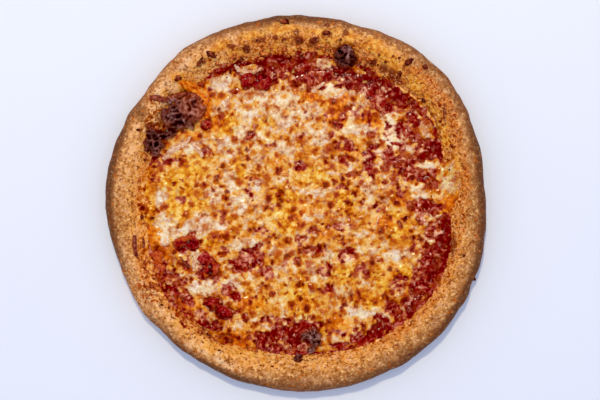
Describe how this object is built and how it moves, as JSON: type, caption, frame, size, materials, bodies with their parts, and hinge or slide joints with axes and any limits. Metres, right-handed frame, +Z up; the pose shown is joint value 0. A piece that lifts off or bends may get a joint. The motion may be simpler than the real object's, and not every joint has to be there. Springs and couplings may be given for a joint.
{
  "type": "cheese pizza",
  "caption": "Round baked cheese pizza with a puffed, uneven browned rim, tomato sauce, blistered melted cheese, charred bubbles and bits of tomato, topping up.",
  "frame": {"origin": "middle of the round outline, on the flat underside of the crust", "axes": "+Z up through the topping; +X and +Y across the pizza, with the long charred bubble on the -X +Y side and the round one near +Y"},
  "size_m": [0.3078, 0.3042, 0.0247],
  "materials": {
    "crust": "matt baked crust, speckled golden brown",
    "tomato_sauce": "wet, lumpy dark red sauce",
    "cheese": "oily melted cheese, cream to orange with browned spots",
    "charred_bubble": "burnt, crinkled, slightly glossy",
    "tomato_chunk": "wet cooked tomato"
  },
  "bodies": {
    "root": {"crust": "crust", "tomato_sauce": "tomato_sauce", "cheese": "cheese", "charred_bubble_left": "charred_bubble", "charred_bubble_top": "charred_bubble", "charred_bubble_bottom": "charred_bubble", "tomato_chunk_top": "tomato_chunk", "tomato_chunk_left": "tomato_chunk", "tomato_chunk_lower_left": "tomato_chunk", "tomato_chunk_bottom_left": "tomato_chunk", "tomato_chunk_rim_left": "tomato_chunk", "tomato_chunk_small": "tomato_chunk"}
  },
  "joints": []
}
